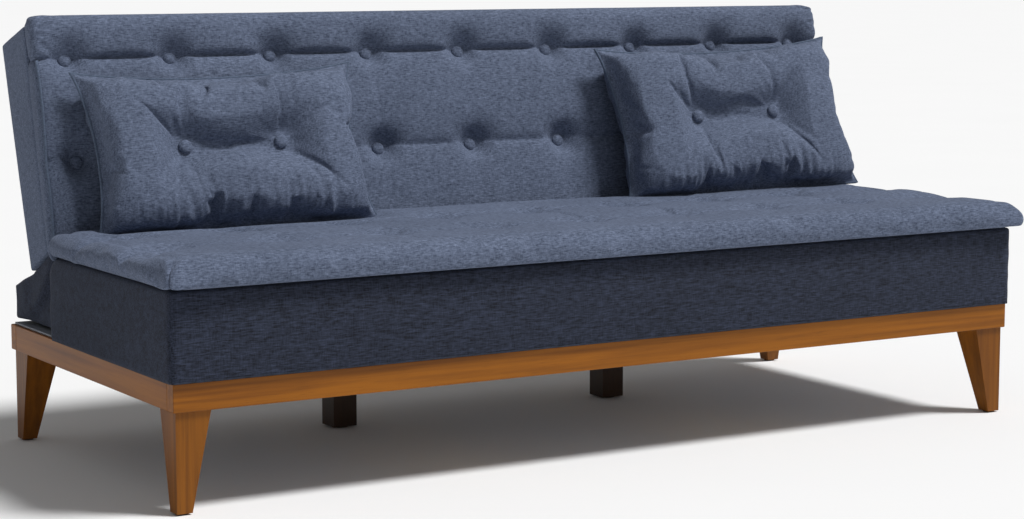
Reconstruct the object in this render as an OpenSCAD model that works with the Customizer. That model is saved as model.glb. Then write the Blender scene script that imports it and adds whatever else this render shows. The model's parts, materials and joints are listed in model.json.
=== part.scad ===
// Three-seat futon sofa bed: upholstered seat box on a wooden plinth with tapered legs,
// and a tufted backrest that folds down behind the seat on two ratchet hinges.
// X runs to the right, Y to the rear, Z up. The origin is on the floor, at the middle
// of the whole object's footprint.

/* [Plinth] */
// Width of the wooden plinth
plinth_w = 1800; // [1400:10:2200]
// How far the plinth reaches behind the seat box
plinth_behind = 222; // [190:1:300]
// Height of the plinth's rails
rail_h = 48; // [36:1:80]
// Thickness of the plinth's rails
rail_t = 26; // [18:1:40]
// Thickness of the grey board that closes the plinth's top
deck_t = 4; // [3:0.5:12]
// How far the board stays inside the plinth's edge
deck_inset = 6; // [2:1:30]

/* [Legs] */
// Height from the floor to the plinth's underside
leg_h = 173; // [120:1:260]
// Side of a corner leg at its top
leg_top = 64; // [45:1:90]
// Side of a corner leg at its foot
leg_foot = 28; // [20:1:44]
// How far the legs stand inside the plinth's edge
leg_inset = 6; // [0:1:20]
// Side of the two straight middle legs
support_leg = 50; // [30:1:70]
// Distance of the middle legs from the sofa's centre line
support_x = 312; // [150:1:500]
// Distance of the middle legs' centre from the plinth's rear
support_back = 210; // [150:5:400]
// Height of the felt glides under the legs
glide_t = 3; // [2:0.5:8]

/* [Seat box] */
// How far the seat box stands proud of the plinth at its front and sides
seat_proud = 6; // [0:1:20]
// Depth of the seat box
seat_d = 554; // [460:1:680]
// Height of the seat box
seat_h = 150; // [110:1:220]
// Corner radius of the seat box in plan
seat_r = 26; // [12:1:50]
// Radius of the seat box's upper rear edge, which the backrest swings past
seat_rear_r = 60; // [40:1:80]
// Thickness of the seat box's padded cover
cover_t = 6; // [3:0.5:10]
// Thickness of the seat frame's boards
board_t = 18; // [12:1:26]
// Height of the seat foam above the slats
seat_foam_t = 28; // [15:1:60]
// Thickness of the slats
slat_t = 12; // [8:1:20]
// Width of the slats
slat_w = 60; // [40:1:90]
// Number of slats
slat_count = 11; // [7:1:15]

/* [Seat pad] */
// Thickness of the loose seat pad
seat_pad_t = 45; // [30:1:90]
// How far the seat pad hangs over the front of the seat box
pad_over_front = 28; // [10:1:50]
// How far the seat pad hangs over each side of the seat box
pad_over_side = 17; // [5:1:40]
// Corner radius of the seat pad in plan
seat_pad_r = 22; // [8:1:60]
// Gap between the seat pad's rear edge and the backrest pad
pad_gap = 3; // [1:0.5:15]

/* [Backrest] */
// How far each end of the backrest stays inside the plinth's end
back_inset = 0; // [0:1:40]
// How far the backrest leans back when it is up
back_lean = 15; // [8:0.5:25]
// Length of the backrest panel's front, from its lower to its upper edge
panel_len = 418; // [340:1:560]
// Thickness of the panel at its lower edge
panel_t_low = 96; // [80:1:130]
// Thickness of the panel at its upper edge
panel_t_top = 126; // [90:1:160]
// How far the panel's front comes forward at the top
panel_rake = 12; // [0:1:24]
// How far the panel's lower rear edge hangs below its front edge
panel_drop = 22; // [8:1:30]
// Distance from the hinge axis up to the panel's lower front edge
panel_rise = 10; // [6:1:20]
// Distance from the hinge axis forward to the panel's front
panel_fwd = 6; // [2:1:12]
// How far the tufted pad rises above the panel
back_pad_rise = 15; // [0:1:40]
// How far the tufted pad hangs below the hinge axis
back_pad_drop = 10; // [0:1:14]
// Thickness of the backrest's frame boards
stile_t = 30; // [18:1:40]
// Thickness of the foam sheet on the frame
back_foam_t = 14; // [8:1:20]

/* [Hinges] */
// Height of the hinge axis below the seat's surface
hinge_drop = 53; // [48:0.5:60]
// Distance of the hinge axis behind the seat box
hinge_back = 22; // [22:1:40]
// Radius of the hinge pins
pin_r = 6; // [4:0.5:8]
// Radial running clearance of the hinge pins
pin_fit = 0.05; // [0.02:0.01:0.1]
// Thickness of the hinge plates
plate_t = 4; // [3:0.5:6]
// Radius of the ratchet housings
drum_r = 23; // [20:0.5:24]

/* [Tufting] */
// Number of buttons in a row
button_columns = 9; // [5:2:13]
// Distance from the outermost buttons to the backrest's ends
button_margin = 68; // [40:1:140]
// Distance of the upper row of buttons below the panel's upper edge
button_row_down = 70; // [30:1:120]
// Distance between the two rows of buttons
button_row_gap = 190; // [120:1:210]
// Radius of an upholstery button
button_r = 13; // [8:0.5:18]
// Depth at which the backrest's buttons sit in the pad
button_sink = 24; // [10:1:30]
// Depth at which the seat's buttons sit in the pad
seat_button_sink = 14; // [8:1:24]

/* [Pillows] */
// Width of a loose pillow
pillow_w = 570; // [400:5:640]
// Height of a loose pillow
pillow_h = 308; // [250:1:420]
// Thickness of a loose pillow at its middle
pillow_t = 110; // [70:1:150]
// Distance from each pillow's outer edge to the backrest's end
pillow_margin = 43; // [0:1:250]
// Half the distance between a pillow's two buttons
pillow_button_x = 97; // [60:1:140]

/* [Hidden] */
$fn = 48;
eps = 1;
sides = [-1, 1];

// Sizes in plan that follow from others.
plinth_d = seat_d - seat_proud + plinth_behind;
support_y = plinth_d - support_back;
back_w = plinth_w - 2 * back_inset;

// Heights, from the floor up.
deck_z = leg_h + rail_h;
seat_z = deck_z + deck_t;
seat_pad_z = seat_z + seat_h + 1;
seat_top_z = seat_pad_z + seat_pad_t;
slat_z = seat_z + seat_h - 2 - seat_foam_t - slat_t;

// The backrest's own axes start at the hinge axis: v runs rearwards through its
// thickness and s runs up along it. A point is [v, s].
hinge_z = seat_top_z - hinge_drop;
hinge_y0 = seat_d - seat_proud + hinge_back;
low_front = [-panel_fwd, panel_rise];
top_front = [-panel_fwd - panel_rake, panel_rise + panel_len];
top_rear = [top_front[0] + panel_t_top, top_front[1] - 8];
low_rear = [low_front[0] + panel_t_low, low_front[1] - panel_drop];
pad_front = -hinge_drop;
pad_top = top_front[1] + back_pad_rise;

// The footprint runs from the seat pad's front edge to the backrest's upper rear edge.
front_reach = seat_proud + pad_over_front;
rear_reach = hinge_y0 + top_rear[0] * cos(back_lean) + top_rear[1] * sin(back_lean);
y_plinth = (front_reach - rear_reach) / 2;
hinge_y = y_plinth + hinge_y0;
seat_y = y_plinth - seat_proud;
seat_w = plinth_w + 2 * seat_proud;
seat_pad_w = seat_w + 2 * pad_over_side;
pad_rear_y0 = hinge_y0 + pad_front * cos(back_lean) - back_pad_drop * sin(back_lean);
seat_pad_d = pad_over_front + seat_proud + pad_rear_y0 - pad_gap;
seat_pad_y = seat_y - pad_over_front;

// Hinge stack, measured outwards from the sofa's centre line.
cover_wall = 5;
stile_in = back_w / 2 - cover_wall - stile_t;
back_arm_x = stile_in - plate_t;
drum_t = 8;
seat_arm_x = back_arm_x - drum_t - plate_t;
drum_wall = 3.5;
play = 0.3;
head_r = pin_r + 3;
head_t = 3;
flange_w = 40;
flange_top = slat_z - 3;
flange_h = 50;
flange_y = seat_y + seat_d - cover_t - board_t - plate_t;
screw_r = 3;
screw_head_r = 5.5;
arm_width = 28;
arm_rise = 112;
arm_v = 14;
hinge_clear = 2;
arm_foot = 0.5 + panel_rise + cover_wall
           - panel_drop * (drum_r + hinge_clear + panel_fwd) / panel_t_low;
arm_knee = 55;
back_screw_s = [56, 77, 98];
back_screw_hole = stile_t - 8;

// Backrest frame.
frame_front = back_foam_t + 2;
rear_cloth_t = 2;
frame_rear = rear_cloth_t + 0.2;
frame_end = cover_wall + 0.2;
top_rail_depth = 45;
rail_low = 30;
rail_depth = 44;
middle_stile_x = 300;
web_w = 50;
web_low = 96;
web_high = panel_len - 82;
web_count = 4;

// Plinth inside.
block = 66;
block_h = rail_h - 6;
bearer_w = 60;
bearer_h = rail_h - 8;
bolt_r = 4;
bolt_fit = 0.1;
bolt_up = 30;
bolt_down = 45;

// Buttons.
button_t = 8;
pocket_r = button_r + 3;
button_pitch = (back_w - 2 * button_margin) / (button_columns - 1);
button_row_high = top_front[1] - button_row_down;
button_xs = [for (i = [0 : button_columns - 1]) (i - (button_columns - 1) / 2) * button_pitch];
button_rows = [button_row_high, button_row_high - button_row_gap];
seat_row_ys = [0.36, 0.72];

// Pillows lean on the backrest pad and stand on the seat pad.
pillow_x = back_w / 2 - pillow_margin - pillow_w / 2;
pillow_edge = 8;
pillow_v = pad_front - 1 - pillow_t / 2;
pillow_s = (hinge_drop + 1.5 + pillow_edge / 2 * sin(back_lean)
            + pillow_v * sin(back_lean)) / cos(back_lean);
pillow_sink = 22;

// Skirt behind the seat.
skirt_t = 5;
skirt_low = 7;
skirt_clear = 3;
skirt_rear_y0 = plinth_d - 13;
skirt_shoulder_share = 0.755;

wood = "#a2672f";
dark_wood = "#4a2f1d";
inner_wood = "#c9a878";
linen = "#56647c";
navy = "#353b50";
steel = "#8d9196";

// ---- Shared shapes ----

// A rectangle with round corners, its lower left corner at the origin.
module round_rect(w, d, r) {
    translate([r, 0]) square([w - 2 * r, d]);
    translate([0, r]) square([w, d - 2 * r]);
    for (x = [r, w - r], y = [r, d - r]) translate([x, y]) circle(r);
}

// A flat outline given in the Y-Z plane, made thick along X from x0 to x0 + w.
module along_x(x0, w) {
    translate([x0, 0, 0]) rotate([90, 0, 90]) linear_extrude(w) children();
}

// Puts what is drawn on one side at both ends, or at one end when side is set.
module at_side(side) {
    if (side < 0) mirror([1, 0, 0]) children();
    else children();
}

// Places the backrest's own axes: x along the sofa, y = v, z = s.
module on_back() {
    translate([0, hinge_y, hinge_z]) rotate([-back_lean, 0, 0]) children();
}

// The point where a line through p along d meets a line through q along e.
function cross_2d(a, b) = a[0] * b[1] - a[1] * b[0];
function meet(p, d, q, e) = p + d * cross_2d(q - p, e) / cross_2d(d, e);

// The panel's outline in v and s, with its front, rear and ends taken in.
module panel_outline(front, rear, ends) {
    front_d = top_front - low_front;
    rear_d = top_rear - low_rear;
    low_d = low_rear - low_front;
    top_d = top_rear - top_front;
    f = low_front + [front, 0];
    r = low_rear - [rear, 0];
    low = low_front + [0, ends];
    top = top_front - [0, ends];
    polygon([
        meet(f, front_d, low, low_d), meet(f, front_d, top, top_d),
        meet(r, rear_d, top, top_d), meet(r, rear_d, low, low_d)
    ]);
}

// Where the panel's front stands at a height s along the backrest.
function front_v(s) = low_front[0] - panel_rake * (s - low_front[1]) / panel_len;

// ---- Plinth ----

module long_rail(y) {
    color(wood) translate([-plinth_w / 2, y, leg_h]) cube([plinth_w, rail_t, rail_h]);
}

module side_rail(side) {
    color(wood) at_side(side)
        translate([plinth_w / 2 - rail_t, y_plinth + rail_t, leg_h])
            cube([rail_t, plinth_d - 2 * rail_t, rail_h]);
}

module plinth_front_rail() { long_rail(y_plinth); }
module plinth_rear_rail() { long_rail(y_plinth + plinth_d - rail_t); }
module plinth_left_rail() { side_rail(-1); }
module plinth_right_rail() { side_rail(1); }

// Distance from the plinth's edge to the middle of a corner leg.
leg_mid = leg_inset + leg_top / 2;

// Repeats its children at the four corner legs, with the leg's outer corner outwards.
module at_corners() {
    translate([0, y_plinth + plinth_d / 2, 0])
        for (sx = sides, sy = sides)
            mirror([sx < 0 ? 1 : 0, 0, 0]) mirror([0, sy < 0 ? 1 : 0, 0])
                translate([plinth_w / 2 - leg_mid, plinth_d / 2 - leg_mid, 0]) children();
}

module corner_blocks() {
    corner = leg_mid - rail_t;
    color(inner_wood) at_corners() difference() {
        translate([corner - block, corner - block, leg_h]) cube([block, block, block_h]);
        translate([0, 0, leg_h - eps]) cylinder(r = bolt_r + bolt_fit, h = bolt_up + 2 * eps);
    }
}

module cross_bearer(side) {
    color(inner_wood) difference() {
        translate([side * support_x - bearer_w / 2, y_plinth + rail_t, leg_h])
            cube([bearer_w, plinth_d - 2 * rail_t, bearer_h]);
        translate([side * support_x, y_plinth + support_y, leg_h - eps])
            cylinder(r = bolt_r + bolt_fit, h = bolt_up + 2 * eps);
    }
}

module cross_bearer_left() { cross_bearer(-1); }
module cross_bearer_right() { cross_bearer(1); }

module plinth_deck() {
    color("#8a909c") translate([-plinth_w / 2 + deck_inset, y_plinth + deck_inset, deck_z])
        cube([plinth_w - 2 * deck_inset, plinth_d - 2 * deck_inset, deck_t]);
}

// ---- Legs ----

// A leg whose two outer faces are upright and whose two inner faces taper.
module tapered_leg() {
    half = leg_top / 2;
    side_view = [[half, leg_h], [half, glide_t], [half - leg_foot, glide_t], [-half, leg_h]];
    difference() {
        intersection() {
            along_x(-half, leg_top) polygon(side_view);
            translate([0, half, 0]) rotate([90, 0, 0]) linear_extrude(leg_top) polygon(side_view);
        }
        translate([0, 0, leg_h - bolt_down]) cylinder(r = bolt_r + bolt_fit, h = bolt_down + eps);
    }
}

module corner_leg(sx, sy) {
    color(wood) translate([0, y_plinth + plinth_d / 2, 0])
        mirror([sx < 0 ? 1 : 0, 0, 0]) mirror([0, sy < 0 ? 1 : 0, 0])
            translate([plinth_w / 2 - leg_mid, plinth_d / 2 - leg_mid, 0]) tapered_leg();
}

module leg_front_left() { corner_leg(-1, -1); }
module leg_front_right() { corner_leg(1, -1); }
module leg_rear_left() { corner_leg(-1, 1); }
module leg_rear_right() { corner_leg(1, 1); }

module middle_leg(side) {
    color(dark_wood) translate([side * support_x, y_plinth + support_y, 0]) difference() {
        translate([-support_leg / 2, -support_leg / 2, glide_t])
            cube([support_leg, support_leg, leg_h - glide_t]);
        translate([0, 0, leg_h - bolt_down]) cylinder(r = bolt_r + bolt_fit, h = bolt_down + eps);
    }
}

module support_leg_left() { middle_leg(-1); }
module support_leg_right() { middle_leg(1); }

module leg_bolt() {
    translate([0, 0, leg_h - bolt_down + eps]) cylinder(r = bolt_r, h = bolt_down + bolt_up - eps);
}

module leg_bolts() {
    color(steel) {
        at_corners() leg_bolt();
        for (side = sides) translate([side * support_x, y_plinth + support_y, 0]) leg_bolt();
    }
}

module leg_glides() {
    foot_mid = (leg_top - leg_foot) / 2;
    color("#3a3532") {
        at_corners() translate([foot_mid, foot_mid, 0]) cylinder(r = leg_foot / 2 - 3, h = glide_t);
        for (side = sides) translate([side * support_x, y_plinth + support_y, 0])
            cylinder(r = support_leg / 2 - 8, h = glide_t);
    }
}

// ---- Seat box ----

// The seat box between two heights, taken in all round: round corners in plan, and a
// round upper rear edge from the side.
module seat_block(z, h, inset) {
    r = seat_rear_r - inset;
    intersection() {
        translate([-seat_w / 2 + inset, seat_y + inset, z]) linear_extrude(h)
            round_rect(seat_w - 2 * inset, seat_d - 2 * inset, seat_r - inset);
        along_x(-seat_w / 2, seat_w) difference() {
            translate([seat_y, z]) square([seat_d - inset, h]);
            translate([seat_y + seat_d - seat_rear_r, seat_z + seat_h - seat_rear_r]) difference() {
                square(seat_rear_r + eps);
                circle(r);
            }
        }
    }
}

// The space inside the seat box's cover.
module seat_inside(z, h) { seat_block(z, h, cover_t); }

module long_board(y) {
    translate([-seat_w / 2 + cover_t, y, seat_z]) cube([seat_w - 2 * cover_t, board_t, slat_z - seat_z]);
}

module side_board(side) {
    color(inner_wood) intersection() {
        at_side(side) translate([seat_w / 2 - cover_t - board_t, seat_y + cover_t + board_t, seat_z])
            cube([board_t, seat_d - 2 * cover_t - 2 * board_t, slat_z - seat_z]);
        seat_inside(seat_z, seat_h);
    }
}

module seat_front_board() {
    color(inner_wood) intersection() {
        long_board(seat_y + cover_t);
        seat_inside(seat_z, seat_h);
    }
}

// The slot that a hinge arm passes through, in all that is behind its flange.
module arm_slots() {
    low = flange_top - flange_h - 1;
    for (side = sides) at_side(side) translate([seat_arm_x - 1, flange_y, low])
        cube([plate_t + 2, board_t + cover_t + 3 * plate_t, seat_z + seat_h - low + eps]);
}

// The seat hinge screws, two above each other on each flange.
module at_seat_screws() {
    for (side = sides, k = [0.3, 0.8]) at_side(side)
        translate([seat_arm_x - flange_w / 2, flange_y, flange_top - flange_h * k])
            rotate([-90, 0, 0]) children();
}

module seat_rear_board() {
    color(inner_wood) difference() {
        intersection() {
            long_board(seat_y + seat_d - cover_t - board_t);
            seat_inside(seat_z, seat_h);
        }
        arm_slots();
        at_seat_screws() cylinder(r = screw_r + bolt_fit, h = plate_t + board_t + eps);
    }
}

module seat_left_board() { side_board(-1); }
module seat_right_board() { side_board(1); }

module seat_slats() {
    span = seat_w - 2 * cover_t - slat_w;
    color("#d8bd8c") difference() {
        intersection() {
            for (i = [0 : slat_count - 1])
                translate([-span / 2 + i * span / (slat_count - 1) - slat_w / 2, seat_y + cover_t, slat_z])
                    cube([slat_w, seat_d - 2 * cover_t, slat_t]);
            seat_inside(slat_z, slat_t);
        }
        arm_slots();
    }
}

module seat_foam() {
    color("#e8d9a8") difference() {
        seat_inside(slat_z + slat_t, seat_foam_t);
        arm_slots();
    }
}

// Fabric over wadding: four walls and a thin top, open underneath.
module seat_cover() {
    color(navy) difference() {
        seat_block(seat_z, seat_h, 0);
        seat_inside(seat_z - eps, seat_h - 2 + eps);
        arm_slots();
    }
}

// ---- Seat pad ----

// Repeats its children at every seat button, on the pad's top.
module at_seat_buttons() {
    for (x = button_xs, k = seat_row_ys)
        translate([x, seat_pad_y + k * seat_pad_d, seat_top_z]) children();
}

module seat_pad() {
    color(linen) difference() {
        translate([-seat_pad_w / 2, seat_pad_y, seat_pad_z]) linear_extrude(seat_pad_t)
            round_rect(seat_pad_w, seat_pad_d, seat_pad_r);
        at_seat_buttons() translate([0, 0, -seat_button_sink - button_t])
            cylinder(r = pocket_r, h = seat_button_sink + button_t + eps);
    }
}

module seat_pad_buttons() {
    color(linen) at_seat_buttons()
        translate([0, 0, -seat_button_sink - button_t]) cylinder(r = button_r, h = button_t);
}

// ---- Backrest frame ----

// The space between the backrest's cover walls, within given takes-in.
module back_slice(x0, w, front, rear, ends) {
    along_x(x0, w) panel_outline(front, rear, ends);
}

// Full-depth slab across the backrest between two heights, clipped to the frame's outline.
module frame_rail(s0, s1) {
    intersection() {
        back_slice(-stile_in, 2 * stile_in, frame_front, frame_rear, frame_end);
        translate([-stile_in, -panel_t_top, s0]) cube([2 * stile_in, 3 * panel_t_top, s1 - s0]);
    }
}

module back_top_rail() {
    color(inner_wood) on_back() frame_rail(top_rear[1] - top_rail_depth, top_front[1]);
}

module back_bottom_rail() {
    color(inner_wood) on_back() difference() {
        frame_rail(rail_low, rail_low + rail_depth);
        for (side = sides) at_side(side)
            translate([seat_arm_x - 2, -panel_t_low, 0])
                cube([stile_in - seat_arm_x + 2 + eps, panel_t_low + 10 + arm_width + 4, 3 * rail_depth]);
    }
}

module stile(side) {
    color(inner_wood) on_back() at_side(side) difference() {
        back_slice(stile_in, stile_t, frame_front, frame_rear, frame_end);
        translate([stile_in - eps, 0, 0]) rotate([0, 90, 0]) cylinder(r = head_r + 2, h = head_t + 2 * eps);
        for (s = back_screw_s) translate([stile_in - eps, arm_v + arm_width / 2, s])
            rotate([0, 90, 0]) cylinder(r = screw_r + bolt_fit, h = back_screw_hole + eps);
    }
}

module back_left_stile() { stile(-1); }
module back_right_stile() { stile(1); }

module back_middle_stiles() {
    color(inner_wood) on_back() for (side = sides) intersection() {
        back_slice(side * middle_stile_x - stile_t / 2, stile_t, frame_front, frame_rear, frame_end);
        translate([-back_w / 2, -panel_t_top, rail_low + rail_depth])
            cube([back_w, 3 * panel_t_top, top_rear[1] - top_rail_depth - rail_low - rail_depth]);
    }
}

module back_webbing() {
    half = back_w / 2 - cover_wall - 2;
    color("#2c2a28") on_back() for (i = [0 : web_count - 1]) intersection() {
        difference() {
            back_slice(-half, 2 * half, back_foam_t, 0, frame_end);
            back_slice(-half - eps, 2 * half + 2 * eps, frame_front, -eps, 0);
        }
        translate([-half, -panel_t_top, web_low + i * (web_high - web_low) / (web_count - 1) - web_w / 2])
            cube([2 * half, 3 * panel_t_top, web_w]);
    }
}

module back_foam() {
    half = back_w / 2 - cover_wall;
    color("#e8d9a8") on_back() difference() {
        back_slice(-half, 2 * half, 0, 0, frame_end);
        back_slice(-half - eps, 2 * half + 2 * eps, back_foam_t, -eps, -eps);
        for (side = sides) at_side(side) translate([seat_arm_x - 6, -panel_t_low, 0])
            cube([stile_in - seat_arm_x + 6 + eps, 2 * panel_t_low, arm_knee]);
        hinge_room();
    }
}

// Round room about the hinge axis, at both ends.
module hinge_room() {
    for (side = sides) at_side(side)
        translate([seat_arm_x - head_t - 3, 0, 0]) rotate([0, 90, 0])
            cylinder(r = drum_r + hinge_clear, h = stile_in - seat_arm_x + 2 * head_t + 3);
}

// Fabric round the top, the bottom and the two sides of the frame.
module back_cover() {
    half = back_w / 2;
    color(linen) on_back() difference() {
        back_slice(-half, 2 * half, 0, 0, 0);
        back_slice(-half + cover_wall, 2 * (half - cover_wall), -eps, -eps, cover_wall);
        hinge_room();
    }
}

module back_rear_cloth() {
    half = back_w / 2 - cover_wall;
    color("#23252c") on_back() difference() {
        back_slice(-half, 2 * half, 0, 0, frame_end);
        back_slice(-half - eps, 2 * half + 2 * eps, -eps, rear_cloth_t, -eps);
    }
}

// ---- Backrest pad ----

// Repeats its children at every backrest button, looking forward out of the pad.
module at_back_buttons() {
    for (x = button_xs, s = button_rows)
        translate([x, pad_front, s]) rotate([90, 0, 0]) children();
}

module back_pad() {
    color(linen) on_back() difference() {
        along_x(-back_w / 2, back_w) polygon([
            [pad_front, -back_pad_drop], [pad_front, pad_top],
            [front_v(pad_top) - play, pad_top], [front_v(0) - play, 0],
            [front_v(0) - play, -back_pad_drop]
        ]);
        hinge_room();
        for (side = sides) at_side(side)
            translate([seat_arm_x - 3, pad_front - eps, -back_pad_drop - eps])
                cube([plate_t + 6, hinge_drop + eps, back_pad_drop + arm_width]);
        at_back_buttons() translate([0, 0, -button_sink - button_t])
            cylinder(r = pocket_r, h = button_sink + button_t + eps);
    }
}

module back_buttons() {
    color(linen) on_back() at_back_buttons()
        translate([0, 0, -button_sink - button_t]) cylinder(r = button_r, h = button_t);
}

// ---- Hinges ----

// Bracket screwed inside the seat's rear board, reaching back to the hinge axis.
module seat_arm(side) {
    board_reach = hinge_y - flange_y;
    low = flange_top - flange_h - hinge_z;
    high = flange_top - hinge_z;
    color(steel) at_side(side) {
        translate([0, hinge_y, hinge_z]) along_x(seat_arm_x, plate_t) difference() {
            union() {
                circle(drum_r - 5);
                polygon([[-board_reach, low], [-board_reach, high], [0, drum_r - 7], [3, 7 - drum_r]]);
            }
            circle(pin_r);
        }
        difference() {
            translate([seat_arm_x - flange_w + plate_t, flange_y, flange_top - flange_h])
                cube([flange_w - plate_t, plate_t, flange_h]);
            at_seat_screws() translate([0, 0, -eps])
                cylinder(r = screw_r + bolt_fit, h = plate_t + 2 * eps);
        }
    }
}

module hinge_seat_arm_left() { seat_arm(-1); }
module hinge_seat_arm_right() { seat_arm(1); }

// Round cup on the seat arm that holds the ratchet wheel.
module drum(side) {
    color(steel) at_side(side) translate([seat_arm_x + plate_t, hinge_y, hinge_z])
        rotate([0, 90, 0]) difference() {
            cylinder(r = drum_r, h = drum_t - play);
            translate([0, 0, drum_wall]) cylinder(r = drum_r - drum_wall, h = drum_t);
            translate([0, 0, -eps]) cylinder(r = pin_r, h = drum_t);
        }
}

module hinge_drum_left() { drum(-1); }
module hinge_drum_right() { drum(1); }

// Twelve-tooth wheel on the back arm, free inside the cup.
module ratchet_wheel(side) {
    tooth_r = drum_r - drum_wall - 1;
    teeth = 12;
    color("#6f7378") at_side(side)
        on_back() along_x(seat_arm_x + plate_t + drum_wall + play, drum_t - drum_wall - play)
            difference() {
                union() {
                    circle(tooth_r - 3);
                    for (i = [0 : teeth - 1]) rotate(i * 360 / teeth)
                        polygon([[0, 0], [tooth_r, 0], [(tooth_r - 4) * cos(26), (tooth_r - 4) * sin(26)]]);
                }
                circle(pin_r + pin_fit);
            }
}

module ratchet_wheel_left() { ratchet_wheel(-1); }
module ratchet_wheel_right() { ratchet_wheel(1); }

// Plate screwed to the inner face of a stile.
module back_arm(side) {
    shoulder = drum_r - 8;
    color(steel) at_side(side) on_back() difference() {
        union() {
            translate([back_arm_x, 0, 0]) rotate([0, 90, 0]) cylinder(r = drum_r - 2, h = plate_t);
            translate([back_arm_x, 0, arm_foot]) cube([plate_t, arm_v + arm_width, shoulder]);
            translate([back_arm_x, arm_v, arm_foot]) cube([plate_t, arm_width, arm_rise - arm_foot]);
        }
        translate([back_arm_x - eps, 0, 0]) rotate([0, 90, 0])
            cylinder(r = pin_r + pin_fit, h = plate_t + 2 * eps);
        for (s = back_screw_s) translate([back_arm_x - eps, arm_v + arm_width / 2, s])
            rotate([0, 90, 0]) cylinder(r = screw_r + bolt_fit, h = plate_t + 2 * eps);
    }
}

module hinge_back_arm_left() { back_arm(-1); }
module hinge_back_arm_right() { back_arm(1); }

// Headed pin, fixed in the seat arm; the back arm and ratchet wheel turn on it.
module hinge_pin(side) {
    color("#b9bcc0") at_side(side) translate([seat_arm_x, hinge_y, hinge_z]) rotate([0, 90, 0]) {
        translate([0, 0, -head_t]) cylinder(r = head_r, h = head_t);
        cylinder(r = pin_r, h = 2 * plate_t + drum_t + play);
        translate([0, 0, 2 * plate_t + drum_t + play]) cylinder(r = head_r, h = head_t - 1);
    }
}

module hinge_pin_left() { hinge_pin(-1); }
module hinge_pin_right() { hinge_pin(1); }

module seat_hinge_screws() {
    color("#b9bcc0") at_seat_screws() {
        translate([0, 0, -head_t]) cylinder(r = screw_head_r, h = head_t);
        cylinder(r = screw_r, h = plate_t + board_t - 2);
    }
}

module back_hinge_screws() {
    color("#b9bcc0") on_back() for (side = sides, s = back_screw_s) at_side(side)
        translate([back_arm_x, arm_v + arm_width / 2, s]) rotate([0, 90, 0]) {
            translate([0, 0, -head_t]) cylinder(r = screw_head_r, h = head_t);
            cylinder(r = screw_r, h = plate_t + back_screw_hole - 2);
        }
}

// ---- Skirt behind the seat ----

// A point of the panel's lower edge, in the sofa's Y and Z, pushed down by the clearance.
function below_panel(p, down) = [
    hinge_y + p[0] * cos(back_lean) + p[1] * sin(back_lean),
    hinge_z - p[0] * sin(back_lean) + p[1] * cos(back_lean) - down
];

skirt_z = seat_z + skirt_low;
skirt_rear_y = y_plinth + skirt_rear_y0;
skirt_front_y = seat_y + seat_d + skirt_clear;
skirt_knee = below_panel(low_rear, skirt_clear);
skirt_top = [skirt_front_y, below_panel(low_front, drum_r + 12)[1]];
shoulder_z = skirt_z + skirt_shoulder_share * (skirt_knee[1] - skirt_z);

// Side gusset of the skirt, closing the gap between seat box and backrest.
module side_gusset(side) {
    color(navy) at_side(side) along_x(back_w / 2 - cover_wall - 2 - skirt_t, skirt_t) polygon([
        [skirt_front_y, skirt_z], [skirt_rear_y, skirt_z], [skirt_rear_y - 8, shoulder_z - 6],
        skirt_knee, skirt_top
    ]);
}

module skirt_left() { side_gusset(-1); }
module skirt_right() { side_gusset(1); }

// Fabric across the rear, from the backrest's lower edge down towards the plinth.
module skirt_rear() {
    half = back_w / 2 - cover_wall - 2;
    color(navy) along_x(-half, 2 * half) polygon([
        [skirt_rear_y + 1, skirt_z], [skirt_rear_y + 1 + skirt_t, skirt_z],
        [skirt_rear_y - 8 + skirt_t, shoulder_z], skirt_knee + [12, 4], skirt_knee + [0, 1],
        [skirt_rear_y - 8, shoulder_z - 5]
    ]);
}

// ---- Pillows ----

module on_pillow(side) {
    on_back() translate([side * pillow_x, pillow_v, pillow_s + pillow_h / 2]) children();
}

module pillow(side) {
    color(linen) on_pillow(side) difference() {
        hull() {
            cube([pillow_w, pillow_edge, pillow_h], center = true);
            cube([pillow_w * 0.66, pillow_t * 0.86, pillow_h * 0.5], center = true);
            cube([pillow_w * 0.42, pillow_t, pillow_h * 0.26], center = true);
        }
        at_pillow_buttons() cylinder(r = pocket_r, h = pillow_sink + eps);
    }
}

// Repeats its children at a pillow's two buttons, looking forward.
module at_pillow_buttons() {
    for (bx = sides) translate([bx * pillow_button_x, -pillow_t / 2 + pillow_sink, 0])
        rotate([90, 0, 0]) children();
}

module pillow_buttons(side) {
    color(linen) on_pillow(side) at_pillow_buttons() cylinder(r = button_r, h = button_t);
}

module pillow_left() { pillow(-1); }
module pillow_right() { pillow(1); }
module pillow_left_buttons() { pillow_buttons(-1); }
module pillow_right_buttons() { pillow_buttons(1); }

// ---- Nodes ----

plinth_front_rail();
plinth_rear_rail();
plinth_left_rail();
plinth_right_rail();
corner_blocks();
cross_bearer_left();
cross_bearer_right();
plinth_deck();
leg_front_left();
leg_front_right();
leg_rear_left();
leg_rear_right();
support_leg_left();
support_leg_right();
leg_bolts();
leg_glides();
seat_front_board();
seat_rear_board();
seat_left_board();
seat_right_board();
seat_slats();
seat_foam();
seat_cover();
seat_pad();
seat_pad_buttons();
back_top_rail();
back_bottom_rail();
back_left_stile();
back_right_stile();
back_middle_stiles();
back_webbing();
back_foam();
back_cover();
back_rear_cloth();
back_pad();
back_buttons();
hinge_seat_arm_left();
hinge_seat_arm_right();
hinge_drum_left();
hinge_drum_right();
hinge_pin_left();
hinge_pin_right();
hinge_back_arm_left();
hinge_back_arm_right();
ratchet_wheel_left();
ratchet_wheel_right();
seat_hinge_screws();
back_hinge_screws();
skirt_left();
skirt_right();
skirt_rear();
pillow_left();
pillow_right();
pillow_left_buttons();
pillow_right_buttons();
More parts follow.
